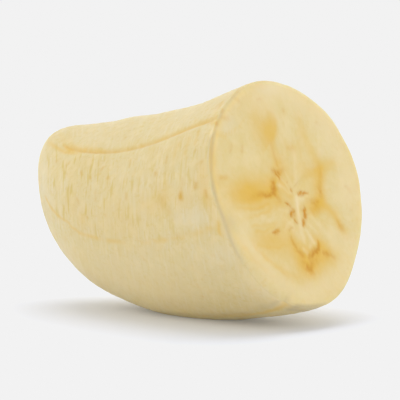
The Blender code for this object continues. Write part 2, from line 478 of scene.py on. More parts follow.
honeyStrokes = (
    ((0.1, 9.4, 1.3, 0.42),),
    ((-1.4, 11.4, 1.5, 0.28), (-0.6, 12.6, 1.3, 0.2)),
    ((-3.0, 9.2, 1.4, 0.12),),
    ((4.4, 1.1, 0.9, 0.24), (6.2, 0.9, 1.0, 0.36), (7.4, 0.8, 0.9, 0.32)),
    ((3.6, 5.5, 0.9, 0.25), (5.0, 5.0, 0.9, 0.2)),
    ((0.4, 4.0, 0.9, 0.2), (1.0, 1.6, 0.8, 0.15)),
    ((-14.6, 5.6, 0.5, 0.3), (-13.4, 5.3, 0.5, 0.3)),
    ((-14.4, 8.0, 0.9, 0.2), (-14.0, 10.4, 0.8, 0.25), (-11.6, 12.8, 0.8, 0.25)),
    ((-2.0, 1.0, 7.0, 0.15), (2.6, -1.0, 6.0, 0.12)),
    ((-4.0, -5.0, 6.5, 0.14), (-7.0, -3.0, 5.0, 0.05)),
    ((0.0, 9.0, 4.5, 0.1),),
    ((-1.0, -12.0, 4.0, 0.16),),
    ((3.4, 3.2, 1.6, 0.12), (4.6, 1.6, 2.0, 0.14)),
    ((-3.0, -8.8, 1.2, 0.3), (-2.0, -7.8, 0.9, 0.2)),
    ((-9.2, -6.8, 1.6, 0.12), (-7.2, -8.2, 1.6, 0.14)),
    ((-11.2, 12.9, 0.6, 0.35), (-9.6, 13.3, 0.5, 0.3)),
    ((-15.6, 5.0, 1.0, 0.2), (-15.4, 8.0, 0.9, 0.2), (-13.6, 11.0, 0.8, 0.15)),
    ((-2.2, 2.2, 0.9, 0.25), (-1.2, -1.0, 0.6, 0.3)),
    ((8.2, -6.0, 0.8, 0.25), (3.2, -3.0, 0.7, 0.2), (-7.2, -4.6, 0.8, 0.2)),
    ((12.4, 1.0, 0.8, 0.15),),
    # along the slumped edge
    ((-15.6, -4.6, 0.3, 0.25), (-14.2, -7.4, 0.3, 0.35), (-12.2, -10.2, 0.3, 0.25)),
    ((-14.0, -3.2, 0.25, 0.25), (-13.4, -5.4, 0.25, 0.38), (-11.6, -8.4, 0.25, 0.3),
     (-9.4, -11.0, 0.3, 0.2)),
    ((-12.6, -7.0, 0.4, 0.22), (-10.0, -10.0, 0.4, 0.3), (-7.4, -12.0, 0.4, 0.2)),
    ((-13.0, -6.0, 1.2, 0.16), (-10.6, -9.4, 1.4, 0.18), (-6.6, -12.6, 1.6, 0.14)),
    ((-13.9, -6.4, 0.7, 0.2), (-13.0, -8.4, 0.7, 0.22)),
    ((-13.2, -1.6, 1.4, 0.1), (-11.6, -3.0, 1.4, 0.12)),
    # streaks that sweep round under the left chamber
    ((-13.8, 0.9, 0.3, 0.15), (-12.0, 0.2, 0.3, 0.36), (-10.0, -0.25, 0.28, 0.42), (-8.2, -0.4, 0.28, 0.46),
     (-6.6, -0.6, 0.28, 0.35)),
    ((-12.6, -0.9, 0.28, 0.14), (-10.2, -1.3, 0.28, 0.3), (-7.8, -1.3, 0.28, 0.36),
     (-6.4, -1.2, 0.28, 0.3)),
    ((-12.6, -2.2, 0.3, 0.2), (-9.8, -2.9, 0.3, 0.28), (-6.8, -3.5, 0.3, 0.24)),
    ((-12.0, -3.4, 0.3, 0.24), (-10.0, -3.7, 0.3, 0.3), (-7.6, -3.8, 0.3, 0.3)),
    ((-13.0, -5.0, 0.3, 0.2), (-11.0, -5.8, 0.3, 0.3), (-9.0, -6.6, 0.3, 0.28), (-7.0, -7.0, 0.3, 0.2)),
    ((3.4, -6.2, 0.3, 0.14), (4.6, -8.2, 0.35, 0.12)),
    ((5.2, 3.6, 0.3, 0.16), (6.4, 5.8, 0.35, 0.14)),
    ((10.6, 0.2, 0.3, 0.12), (12.6, -0.4, 0.3, 0.08)),
    ((-11.3, 11.2, 0.25, 0.25), (-9.0, 10.8, 0.25, 0.25), (-6.5, 11.0, 0.25, 0.2),
     (-4.0, 11.8, 0.25, 0.15)),
)
# browned edges, seeds and specks
brownStrokes = (
    # left chamber
    ((-10.4, 1.3, 0.45, 0.12), (-8.6, 1.3, 0.45, 0.22), (-7.6, 1.15, 0.42, 0.45), (-6.5, 0.78, 0.42, 0.7),
     (-5.5, 0.55, 0.42, 0.75), (-4.7, 0.75, 0.5, 0.7), (-4.1, 1.3, 0.55, 0.8), (-3.6, 1.95, 0.5, 0.85),
     (-3.2, 2.3, 0.4, 0.35)),
    ((-4.3, 0.8, 0.6, 0.5), (-3.5, 0.8, 0.5, 0.3)),
    ((-4.4, 0.2, 0.5, 0.4), (-4.0, -0.7, 0.5, 0.22)),
    # above the core
    ((-2.6, 3.55, 0.45, 0.5), (-2.1, 3.15, 0.55, 0.8), (-1.75, 2.6, 0.5, 0.95), (-1.7, 2.1, 0.35, 0.6)),
    ((-1.7, 2.9, 0.45, 0.6), (-1.0, 3.0, 0.4, 0.4), (0.0, 3.0, 0.35, 0.2)),
    ((-0.9, 4.2, 0.4, 0.2), (-0.5, 5.6, 0.35, 0.18), (-0.2, 7.0, 0.35, 0.12)),
    # seeds
    ((-2.8, -1.45, 0.27, 0.6), (-2.4, -1.75, 0.33, 0.85), (-2.1, -2.15, 0.27, 0.6)),
    ((-2.85, -3.5, 0.36, 0.85), (-2.4, -3.25, 0.46, 1.0), (-1.9, -2.9, 0.36, 0.85)),
    ((-2.5, -4.35, 0.3, 0.8), (-2.3, -4.75, 0.28, 0.6)),
    ((-8.3, -4.5, 0.3, 0.6), (-7.6, -4.65, 0.42, 1.0), (-6.95, -4.5, 0.28, 0.6)),
    ((0.95, -3.5, 0.34, 0.9), (0.6, -3.95, 0.42, 1.0), (0.25, -4.5, 0.38, 0.9)),
    ((-0.5, -5.0, 0.34, 0.9), (-0.85, -5.25, 0.38, 1.0), (-1.2, -5.5, 0.3, 0.7)),
    ((1.05, -1.1, 0.3, 0.8), (1.75, -1.25, 0.38, 1.0), (2.4, -1.38, 0.3, 0.8), (3.2, -1.65, 0.22, 0.4)),
    ((-0.4, -0.12, 0.3, 0.6),),
    ((-0.5, 1.1, 0.2, 0.4),),
    ((-4.6, -5.2, 0.2, 0.3), (-3.7, -5.15, 0.2, 0.3)),
    # right chamber
    ((3.2, -3.0, 0.4, 0.3), (3.9, -3.3, 0.5, 0.5), (4.6, -3.6, 0.5, 0.35)),
    ((9.0, 1.4, 0.5, 0.12), (8.5, 0.3, 0.5, 0.22), (7.6, -0.7, 0.5, 0.2), (6.8, -1.7, 0.5, 0.3),
     (6.3, -2.35, 0.5, 0.55), (6.0, -2.8, 0.4, 0.25)),
    ((2.6, -4.3, 0.6, 0.18), (3.8, -4.3, 0.7, 0.22)),
    ((7.3, -7.6, 0.45, 0.25), (7.6, -8.3, 0.5, 0.38), (7.9, -8.8, 0.4, 0.2)),
    # lower chamber
    ((-4.9, -6.4, 0.35, 0.4), (-5.0, -7.4, 0.35, 0.5), (-4.8, -8.3, 0.4, 0.55), (-4.3, -9.3, 0.5, 0.45)),
    ((-4.9, -10.4, 0.6, 0.35), (-4.4, -11.2, 0.75, 0.65), (-3.9, -11.7, 0.7, 0.7),
     (-3.3, -11.3, 0.5, 0.4)),
    ((-2.8, -9.95, 0.45, 0.5), (-2.0, -9.9, 0.45, 0.75), (-1.3, -9.7, 0.5, 1.0), (-0.6, -9.75, 0.45, 0.9),
     (0.0, -9.7, 0.4, 0.8), (0.45, -9.2, 0.38, 0.75), (0.6, -8.6, 0.3, 0.55)),
    ((0.8, -10.5, 0.35, 0.55), (1.2, -10.8, 0.42, 0.75), (2.0, -11.1, 0.4, 0.5), (2.8, -11.7, 0.4, 0.3)),
    ((-3.0, -10.9, 0.7, 0.3), (-1.6, -10.9, 0.6, 0.25)),
    # faint marks elsewhere
    ((12.8, 7.4, 0.35, 0.18),),
    ((12.9, -3.2, 0.45, 0.18), (13.6, -3.9, 0.4, 0.15)),
    ((11.8, -6.8, 0.35, 0.12),),
    ((6.0, 10.9, 0.4, 0.2),),
    ((3.1, 5.6, 0.5, 0.14), (4.2, 5.4, 0.6, 0.16)),
    ((1.0, 13.9, 0.4, 0.16), (1.8, 13.8, 0.35, 0.12)),
    ((-10.0, 8.5, 0.32, 0.2), (-9.2, 9.2, 0.32, 0.2)),
    ((-7.6, 7.7, 0.28, 0.2), (-7.0, 8.6, 0.28, 0.2)),
    ((-3.9, 15.0, 0.3, 0.15), (-3.3, 14.5, 0.3, 0.15)),
    ((-8.6, 13.4, 0.35, 0.3), (-7.4, 12.9, 0.35, 0.22)),
    ((-7.9, 14.3, 0.4, 0.35),),
    ((-14.6, 5.6, 0.3, 0.22), (-13.2, 5.3, 0.3, 0.18)),
    ((-10.3, 13.0, 0.45, 0.4),),
)
paleStrokes = (
    # the core and its fibres
    ((1.4, -2.0, 0.5, 0.45), (0.4, -1.8, 0.65, 0.65), (-0.2, -2.0, 0.7, 0.75), (-0.8, -2.9, 0.6, 0.6),
     (-1.5, -4.3, 0.5, 0.6), (-1.9, -5.4, 0.55, 0.6), (-2.3, -6.6, 0.55, 0.6), (-2.5, -7.8, 0.4, 0.4)),
    ((0.1, -1.4, 0.3, 0.5), (-0.3, -2.3, 0.25, 0.5), (-1.2, -3.8, 0.22, 0.45)),
    ((-3.5, -5.6, 0.6, 0.35), (-3.2, -6.8, 0.6, 0.35)),
    ((-1.0, -6.4, 0.3, 0.35), (-0.6, -7.6, 0.35, 0.5), (-0.4, -8.4, 0.45, 0.55)),
    ((-2.5, 1.2, 0.35, 0.5), (-1.9, 0.6, 0.3, 0.35), (-1.2, -0.4, 0.3, 0.3)),
    ((-1.5, 1.9, 0.25, 0.35), (-0.9, 0.8, 0.22, 0.25), (-0.8, -0.6, 0.22, 0.25)),
    ((1.5, 0.8, 0.4, 0.25), (2.1, 1.5, 0.4, 0.3), (3.0, 3.0, 0.5, 0.28), (4.2, 4.8, 0.6, 0.28)),
    ((0.3, 0.6, 0.25, 0.2), (0.2, 2.4, 0.25, 0.15), (-0.1, 3.6, 0.25, 0.1)),
    ((-3.0, -4.2, 0.3, 0.35), (-4.4, -4.4, 0.3, 0.35), (-5.6, -4.9, 0.3, 0.2)),
    ((-3.3, -4.9, 0.35, 0.35), (-4.2, -3.7, 0.3, 0.22)),
    ((-3.2, -2.6, 0.3, 0.25), (-5.0, -1.9, 0.3, 0.2)),
    ((1.6, -4.8, 0.35, 0.25), (2.6, -6.8, 0.4, 0.25), (3.8, -8.6, 0.6, 0.2)),
    ((0.4, -6.0, 0.3, 0.25), (1.4, -7.4, 0.35, 0.25)),
    ((-3.4, -8.7, 0.4, 0.4), (-3.0, -9.3, 0.4, 0.3)),
    ((-1.9, -8.8, 0.35, 0.3), (-1.3, -8.6, 0.3, 0.25)),
    # paler flesh
    ((-7.2, 6.2, 1.6, 0.3), (-5.6, 6.6, 1.4, 0.3), (-8.5, 8.0, 1.5, 0.2)),
    ((12.6, -2.6, 1.6, 0.6), (11.4, -4.6, 1.6, 0.55)),
    ((14.6, 8.0, 3.0, 0.45), (14.0, 3.6, 2.6, 0.5), (15.4, 0.5, 2.0, 0.5), (14.5, -5.0, 2.0, 0.4)),
    ((0.0, 13.6, 1.8, 0.35), (5.4, 14.6, 1.8, 0.6), (8.6, 13.0, 2.0, 0.5), (11.0, 11.5, 2.2, 0.5)),
    ((5.6, 9.5, 1.4, 0.35), (4.6, 7.4, 1.2, 0.25), (3.4, 12.2, 1.2, 0.3)),
    ((-13.4, -1.0, 1.5, 0.3), (-15.0, -3.4, 1.4, 0.3), (-13.6, -7.6, 1.4, 0.1),
     (-10.6, -10.6, 2.2, 0.15)),
    ((-5.0, -14.2, 1.6, 0.35), (-2.5, -14.6, 1.6, 0.4), (2.5, -14.6, 1.6, 0.4),
     (7.5, -11.5, 2.0, 0.4)),
    ((4.2, -10.0, 1.2, 0.4), (5.2, -8.0, 0.9, 0.3)),
)
# greyer flesh near the top of the cut
coolStrokes = (
    ((3.0, 15.0, 1.0, 0.4), (5.4, 14.8, 1.0, 0.5), (7.4, 14.0, 0.9, 0.3)),
    ((-8.6, 11.6, 1.0, 0.35), (-6.8, 12.4, 0.9, 0.25)),
)
honey = np.zeros(len(basePoints))
brown = np.zeros(len(basePoints))
paleAndLit = np.zeros(len(basePoints))
honey[onCut] = screen(pools(honeyPools, poolPlaces), strokes(honeyStrokes, poolPlaces))
brown[onCut] = strokes(brownStrokes, strokePlaces + unsteady["brownEdge"] * ragged)
brown[onCut] *= varied(noiseAt(cutMm, "patchy"), unsteady["brownShare"])
paleAndLit[onCut] = strokes(paleStrokes, strokePlaces + unsteady["paleEdge"] * ragged)
paleAndLit *= 1.0 - bottomEdge * smoothStep(*edge["paleEnd"], rimAway)

print("painting the side")
# the seams that run from end to end between the facets; turn is where each one lies at the cut
# and how it drifts along the piece
seams = {
    "upper": {"turn": (0.965, -0.08, -0.12), "until": 0.87, "width": 0.34,
              "depth": 0.20, "lip": 0.10, "tint": 0.78},
    "front": {"turn": (-0.035, 0.04, -0.05), "until": 0.60, "width": 0.42,
              "depth": 0.05, "lip": 0.03, "tint": 0.50},
    "lower": {"turn": (-0.97, 0.0, 0.05), "until": 0.80, "width": 0.6,
              "depth": 0.08, "lip": 0.05, "tint": 0.25},
    "back": {"turn": (2.10, 0.0, 0.12), "until": 0.85, "width": 0.40,
             "depth": 0.20, "lip": 0.12, "tint": 0.55},
    "backLow": {"turn": (3.30, 0.05, 0.0), "until": 0.90, "width": 0.5,
                "depth": 0.06, "lip": 0.04, "tint": 0.40},
    "under": {"turn": (4.30, 0.0, -0.05), "until": 0.80, "width": 0.6,
              "depth": 0.05, "lip": 0.04, "tint": 0.2},
}
seamLook = {
    "wander": 0.35,
    "fadeFrom": 0.06,                # how far before and after its end a seam fades out
    "fadeTo": 0.02,
    "lipAt": 1.5,                    # the swelling above a seam
    "lipWidth": 1.2,
    "lipFrom": -0.6,
    "upperAbove": 0.85,              # the upper seam is soft above and sharp below
    "upperBelow": 0.30,
    "thicker": (0.52, 0.72),         # and grows thicker and stronger from here to here
    "thickness": 0.68,
    "thicknessGain": 0.32,
    "atCut": (0.03, 0.12),           # it is thick again beside the cut
    "atCutGain": 0.3,
    "strength": 0.8,
    "strengthGain": 0.2,
    "upperBeads": (0.95, 0.5, 0.6, 1.0),
    "otherBeads": (0.35, 1.6, 0.0, 1.0),   # the other seams come and go
}
noiseRadius = 9.0     # the side is wrapped round a rod this thick for its noise, in mm
seamTint = np.zeros(len(basePoints))
seamDepth = np.zeros(len(basePoints))
onRod = np.column_stack([np.cos(pointTheta), np.sin(pointTheta)]) * noiseRadius
roundPlaces = np.column_stack([fibreS, onRod])
drift = noiseAt(roundPlaces, "drift")
beads = noiseAt(roundPlaces, "beads")     # lines come and go with it
gain = smoothStep(*seamLook["thicker"], fibreV)
thick = seamLook["thickness"] + seamLook["thicknessGain"] * gain
thick += seamLook["atCutGain"] * (1.0 - smoothStep(*seamLook["atCut"], fibreV))
for name, seam in seams.items():
    atCut, drifting, bending = seam["turn"]
    offset = turnFrom(pointTheta, atCut + drifting * fibreV + bending * fibreV ** 2) * roundRadius
    if name != "upper":
        offset += seamLook["wander"] * drift
    end = seam["until"]
    fade = 1.0 - smoothStep(end - seamLook["fadeFrom"], end + seamLook["fadeTo"], fibreV)
    line = bell(offset, seam["width"]) * fade * onSide
    over = bell(offset - seamLook["lipAt"], seamLook["lipWidth"]) * (offset > seamLook["lipFrom"])
    over *= fade * onSide
    if name == "upper":
        width = np.where(offset > 0, seamLook["upperAbove"], seamLook["upperBelow"]) * thick
        tint = bell(offset, width) * fade * onSide
        tint *= seamLook["strength"] + seamLook["strengthGain"] * gain
        tint *= varied(beads, seamLook["upperBeads"])
    else:
        tint = line * varied(beads, seamLook["otherBeads"])
    seamTint = np.maximum(seamTint, seam["tint"] * tint)
    seamDepth += seam["lip"] * over - seam["depth"] * line

# marks on the side: how far along, how far round, half width, strength
lengthMm = flesh["axisLength"] / mm
girthMm = 15.0
sidePlaces = np.stack([fibreV * lengthMm, pointTheta * girthMm], axis=-1)[onSide]
sidePlaces += unsteady["side"] * wobble[onSide]


def paintSide(marks):
    total = np.zeros(len(basePoints))
    paths = []
    for mark in marks:
        paths.append([(v * lengthMm, turn * girthMm, *rest) for v, turn, *rest in mark])
    total[onSide] = strokes(paths, sidePlaces)
    return total


# short fibres left by the peel
fleckMarks = (
    ((0.118, 0.308, 0.42, 0.95), (0.118, 0.288, 0.44, 0.95)),
    ((0.027, 0.275, 0.28, 0.5), (0.028, 0.235, 0.3, 0.6)),
    ((0.056, 0.365, 0.3, 0.6), (0.062, 0.33, 0.32, 0.65)),
    ((0.19, 0.31, 0.7, 0.3), (0.182, 0.27, 0.6, 0.25)),
    ((0.172, 0.2, 0.5, 0.25),),
    ((0.218, 0.555, 0.35, 0.6), (0.21, 0.55, 0.25, 0.3)),
    ((0.35, 0.42, 0.3, 0.45), (0.348, 0.385, 0.3, 0.45)),
    ((0.467, 0.585, 0.35, 0.5), (0.452, 0.58, 0.25, 0.2)),
    ((0.57, 0.575, 0.3, 0.35), (0.56, 0.56, 0.3, 0.3)),
    ((0.636, 0.61, 0.25, 0.45), (0.618, 0.57, 0.25, 0.35)),
    ((0.378, 0.775, 0.22, 0.45), (0.366, 0.7, 0.22, 0.35)),
    ((0.52, 0.7, 0.4, 0.4), (0.526, 0.66, 0.4, 0.3)),
    ((0.178, 0.69, 0.22, 0.35), (0.176, 0.64, 0.22, 0.3)),
    ((0.029, 0.53, 0.3, 0.4),),
    ((0.058, 0.65, 0.3, 0.3),),
    ((0.539, 0.175, 0.28, 0.5),),
    ((0.59, 0.285, 0.3, 0.35), (0.605, 0.34, 0.25, 0.3)),
    ((0.444, 0.225, 0.25, 0.3),),
    ((0.503, 0.37, 0.28, 0.3),),
    ((0.833, 0.52, 0.5, 0.35),),
    ((0.75, 0.64, 0.25, 0.4), (0.745, 0.6, 0.25, 0.3)),
    ((0.211, -0.644, 0.28, 0.5),),
    ((0.142, -0.635, 0.25, 0.35),),
    ((0.197, -0.5, 0.25, 0.3),),
    ((0.505, 1.09, 0.4, 0.25), (0.515, 1.12, 0.3, 0.15)),
    ((0.406, 1.225, 0.3, 0.2),),
    ((0.033, 1.21, 0.9, 0.35), (0.02, 1.12, 0.6, 0.25)),
    ((0.167, -0.02, 0.35, 0.3),),
)
goldMarks = (
    # the dimple at the blossom end of the upper seam and the branch below it
    ((0.72, 0.835, 0.5, 0.3), (0.78, 0.815, 0.7, 0.7), (0.82, 0.8, 0.8, 1.0),
     (0.85, 0.795, 0.8, 0.9), (0.872, 0.8, 0.7, 0.4)),
    ((0.74, 0.79, 0.4, 0.3), (0.788, 0.763, 0.45, 0.5), (0.843, 0.698, 0.5, 0.55),
     (0.905, 0.638, 0.6, 0.5), (0.945, 0.52, 0.8, 0.35), (0.971, 0.35, 1.0, 0.22)),
    # the front seam, near the blossom end
    ((0.8, -0.035, 0.3, 0.5), (0.751, -0.022, 0.32, 0.6), (0.706, 0.0, 0.32, 0.55),
     (0.667, 0.015, 0.3, 0.5), (0.639, 0.02, 0.3, 0.4), (0.613, -0.01, 0.3, 0.5),
     (0.584, -0.032, 0.3, 0.5), (0.55, -0.03, 0.3, 0.3)),
    ((0.9, 0.86, 1.2, 0.18), (0.95, 0.9, 1.2, 0.12)),
    ((0.02, 0.955, 0.6, 0.5), (0.008, 0.93, 0.6, 0.5)),
    ((0.56, 0.13, 0.9, 0.25),),
    ((0.02, -0.005, 0.34, 0.55), (0.031, -0.08, 0.36, 0.75)),
    ((0.03, 0.48, 1.2, 0.2), (0.034, 0.2, 1.0, 0.3)),
    ((0.17, 0.36, 1.6, 0.22), (0.21, 0.29, 1.8, 0.26), (0.28, 0.3, 1.4, 0.22)),
    ((0.11, 0.26, 1.8, 0.16),),
    ((0.062, 0.86, 0.35, 0.35), (0.064, 0.74, 0.35, 0.3)),
    ((0.095, 0.82, 0.35, 0.3), (0.098, 0.66, 0.35, 0.3)),
    ((0.14, 0.8, 0.3, 0.3), (0.142, 0.68, 0.3, 0.25)),
    ((0.34, 0.16, 3.0, 0.12), (0.46, 0.12, 2.6, 0.1), (0.64, 0.2, 2.0, 0.08)),
    # the lower seam, beside the cut
    ((0.253, -0.987, 0.5, 0.3), (0.18, -1.01, 0.4, 0.4), (0.109, -1.0, 0.36, 0.5),
     (0.076, -0.997, 0.38, 0.7), (0.054, -0.985, 0.4, 0.75), (0.03, -0.967, 0.42, 0.75),
     (0.012, -0.942, 0.36, 0.75)),
)
# greyer flesh on the side
coolMarks = (
    ((0.07, 0.09, 1.4, 0.42), (0.12, 0.1, 1.4, 0.4), (0.16, 0.08, 1.2, 0.15)),
    ((0.06, -0.25, 1.8, 0.3), (0.13, -0.24, 2.0, 0.2)),
    ((0.83, 0.0, 1.6, 0.3), (0.88, 0.15, 1.6, 0.3), (0.78, 0.08, 1.4, 0.2)),
    ((0.3, -0.15, 2.4, 0.15), (0.42, -0.25, 2.4, 0.15)),
)
# painted light: a lighter band low on the near side, where light comes up from the table
lowSideLight = (
    ((0.2, -0.56, 4.0, 0.25), (0.36, -0.55, 4.5, 0.42), (0.62, -0.52, 4.5, 0.4)),
)
# the far side is as flecked as the near one
farFleck = {
    "count": 110,
    "along": (0.03, 0.88),
    "nearSide": (-1.0, 1.4),          # turns that already have their own flecks
    "nearStrength": (0.05, 0.18),
    "strength": (0.10, 0.40),
    "length": (0.0, 0.05),
    "width": (0.22, 0.38),
    "slant": 0.003,
}
farFlecks = []
for k in range(farFleck["count"]):
    v = rng.uniform(*farFleck["along"])
    turn = rng.uniform(-math.pi, math.pi)
    nearFrom, nearTo = farFleck["nearSide"]
    strengths = farFleck["nearStrength"] if nearFrom < turn < nearTo else farFleck["strength"]
    strength = rng.uniform(*strengths)
    length = rng.uniform(*farFleck["length"])
    width = rng.uniform(*farFleck["width"])
    farEnd = (v + rng.normal(0.0, farFleck["slant"]), turn + length, width, strength)
    farFlecks.append(((v, turn, width, strength), farEnd))

fleck = paintSide(fleckMarks + tuple(farFlecks))
gold = np.maximum(paintSide(goldMarks), seamTint)
cool = paintSide(coolMarks)
cool[onCut] = strokes(coolStrokes, poolPlaces)
paleAndLit += paintSide(lowSideLight)

# fine dashes round the body, thickest between the upper and the front seams
dash = {
    "least": 0.35,
    "gain": 0.65,
    "thickest": (-0.1, 0.1, 0.72, 0.86),
    "thin": (0.86, 0.95, 1.9, 2.2),         # over the top
    "thinning": 0.75,
    "until": (0.86, 0.95),                  # along the piece
    "fromEdge": (0.2, 1.0),                 # mm from the knife's edge
    "alongLeast": 0.7,
    "alongGain": 0.5,
    "alongFrom": (0.3, 0.6),
    # the dashes stand upright, turned a little further towards the blossom end
    "turn": math.radians(27.0),
    "turnGain": math.radians(15.0),
    "thickness": 0.62,
    "length": 4.6,
    "height": 0.03,
}
dashWeight = dash["least"] + dash["gain"] * within(pointTheta, dash["thickest"])
dashWeight *= 1.0 - dash["thinning"] * within(pointTheta, dash["thin"])
dashWeight *= (1.0 - smoothStep(*dash["until"], fibreV)) * smoothStep(*dash["fromEdge"], rimAway)
dashWeight *= dash["alongLeast"] + dash["alongGain"] * smoothStep(*dash["alongFrom"], fibreV)
grainTurn = dash["turn"] + dash["turnGain"] * fibreV
lengthwise = cadHigh.x / mm - placesMm[:, 0]
crosswise = lengthwise * np.cos(grainTurn) - placesMm[:, 1] * np.sin(grainTurn)
grainPlaces = np.column_stack([
    crosswise / dash["thickness"],
    placesMm[:, 1] / dash["length"],
    placesMm[:, 2] / dash["length"],
])

# how high the surface stands, in mm
heights = {
    "swell": 0.12,
    "ripple": 0.03,
    "dimple": -0.10,
    "dimpleAt": (0.84, 0.05),      # how far along the upper seam, and its reach
    "lip": 0.04,
    "creaseShade": -0.11,
    "notch": -0.10,
    "bottomEdge": -0.20,
    "bottomEdgeAt": (0.6, 0.4),    # mm from the edge, and its reach
    # on the cut face
    "honey": -0.04,
    "brown": -0.07,
    "paleAndLit": 0.03,
    "cutSwell": 0.08,
}
relief = seamDepth * onSide
relief += heights["swell"] * noiseAt(placesMm, "swell")
relief += heights["ripple"] * noiseAt(placesMm, "ripple")
dimpleAt, dimpleReach = heights["dimpleAt"]
relief += heights["dimple"] * gold * bell(fibreV - dimpleAt, dimpleReach)
relief += dash["height"] * noiseAt(grainPlaces, "grain") * onSide

# broad dents and swells: how far along, turn, reach along, reach round, height in mm
swells = (
    (0.62, 1.78, 0.11, 0.40, -0.38),
    (0.26, 1.66, 0.17, 0.40, -0.28),
    (0.80, 1.75, 0.05, 0.35, -0.10),
    (0.89, -0.56, 0.06, 0.35, -0.17),
    (0.00, 2.92, 0.10, 0.14, -0.12),
    (0.04, -1.28, 0.04, 0.18, 0.16),
)
for v, turn, reachAlong, reachRound, height in swells:
    relief += height * bell(fibreV - v, reachAlong) * bell(turnFrom(pointTheta, turn), reachRound)

# the crease at the knife's edge, darkened with painted shade: strongest low on the near side, faint over
# the top;
# a spot is (turn, reach round) and a band is (mm from the edge, reach across)
creaseLook = {
    "near": (-0.52, -0.30, 0.95, 1.10),
    "above": (0.95, 1.10, 1.40, 1.65),
    "aboveShare": 0.42,
    "elsewhere": 0.08,
    "gaps": ((0.86, 0.09, 0.40), (-0.40, 0.20, 0.48)),      # turn, reach round, how much fainter
    "beads": (1.0, 0.5, 0.6, 1.15),
    "at": 0.12,                                             # mm from the edge
    "outward": 0.46,
    "outwardOver": (-0.05, 0.33),
    "inward": 0.22,
    "inwardSpot": (0.55, 0.14),
    "cutWidth": 0.30,
    "sideWidth": 0.34,
    "sideWider": 0.36,
    "widerSpot": (0.60, 0.22),
}
hollowLook = {"band": (-0.6, 0.9), "until": 0.4, "spot": (-0.04, 0.09), "share": 0.35}
lipLook = {
    "band": (-0.50, 0.28),
    "aboveShare": 0.7,
    "beads": (0.8, 1.0, 0.2, 1.0),
    "gap": 0.8,
    "gapSpot": (-0.04, 0.10),
    "tint": 0.7,
}
rimLook = {
    "bevelBand": (-1.4, 1.1),               # pale flesh on the slumped bevel, partly painted light lifting the bevel where it turns from the light
    "bevelBeads": (0.85, 0.6, 0.4, 1.0),
    "bevelShare": 0.6,
    "shoulderLightBand": (0.5, 2.6),             # painted light behind the rounded shoulder, lifting the side where it turns downward
    "shoulderLightShare": 0.55,
    "glintBand": (0.62, 0.28),               # a painted highlight: a white glint just below the upper seam
    "glintSpot": (0.80, 0.045),
    "glintShare": 0.9,
    "nearEdge": (-2.0, -1.7, 1.25, 1.55),   # the far rim is the rest of the way round
    "goldBand": (0.25, 0.30),
    "goldBeads": (0.6, 1.2, 0.1, 1.0),
    "goldShare": 0.22,
    "goldShade": 0.5,
    "shadeBand": (0.42, 0.16),
    "shadeBeads": (0.7, 0.9, 0.3, 1.0),
    "shadeShare": 0.45,
    "notchBand": (0.3, 0.8),                # where the lower seam meets the cut, darkened with painted shade
    "notchSpot": (-0.95, 0.03),
    "notchShade": 0.4,
    "strip": (-0.15, 0.15, 1.6, 3.0),       # the shaded strip below the notch
    "stripShare": 0.85,
}


def bandAt(where):
    middle, reach = where
    return bell(rimAway - middle, reach)


def spotAt(where):
    turn, reach = where
    return bell(turnFrom(pointTheta, turn), reach)


near = within(pointTheta, creaseLook["near"])
above = within(pointTheta, creaseLook["above"])
creaseWeight = np.ones(len(basePoints))
for turn, reach, fainter in creaseLook["gaps"]:
    creaseWeight -= fainter * spotAt((turn, reach))
creaseWeight = near * creaseWeight + creaseLook["aboveShare"] * above + creaseLook["elsewhere"]
creaseWeight *= varied(beads, creaseLook["beads"])
creaseOff = rimAway - creaseLook["at"]
creaseOff -= creaseLook["outward"] * smoothStep(*creaseLook["outwardOver"], -pointTheta)
creaseOff += creaseLook["inward"] * spotAt(creaseLook["inwardSpot"])
towardSide = creaseLook["sideWidth"] + creaseLook["sideWider"] * spotAt(creaseLook["widerSpot"])
# painted shade along the crease, which also sets how deep it is pressed in
creaseShade = bell(creaseOff, np.where(creaseOff > 0, towardSide, creaseLook["cutWidth"])) * creaseWeight
# where the painted shade widens into a shallow hollow
hollowShade = bandAt(hollowLook["band"]) * (rimAway < hollowLook["until"]) * spotAt(hollowLook["spot"])
creaseShade = np.clip(screen(creaseShade, hollowLook["share"] * hollowShade), 0.0, 1.0)
lip = bandAt(lipLook["band"]) * (near + lipLook["aboveShare"] * above) * varied(beads, lipLook["beads"])
lip *= 1.0 - lipLook["gap"] * spotAt(lipLook["gapSpot"])
relief += heights["lip"] * lip + heights["creaseShade"] * creaseShade

bevelPaleAndLit = softRim * bandAt(rimLook["bevelBand"]) * varied(beads, rimLook["bevelBeads"])
paleAndLit = screen(paleAndLit, rimLook["bevelShare"] * bevelPaleAndLit * (1.0 - hollowShade))
shoulderLight = bandAt(rimLook["shoulderLightBand"]) * shoulder * onSide
paleAndLit = screen(paleAndLit, rimLook["shoulderLightShare"] * shoulderLight)
paintedGlint = bandAt(rimLook["glintBand"]) * spotAt(rimLook["glintSpot"])
paleAndLit = screen(paleAndLit, rimLook["glintShare"] * paintedGlint)
farEdge = 1.0 - within(pointTheta, rimLook["nearEdge"])
# a golden line round the far rim, which also darkens the crease there with painted shade
rimGoldAndShade = bandAt(rimLook["goldBand"]) * farEdge * varied(beads, rimLook["goldBeads"])
creaseShade = np.maximum(creaseShade, rimLook["goldShade"] * rimGoldAndShade)
gold = np.maximum(gold, rimLook["goldShare"] * rimGoldAndShade)
rimShade = bandAt(rimLook["shadeBand"]) * farEdge * varied(beads, rimLook["shadeBeads"])

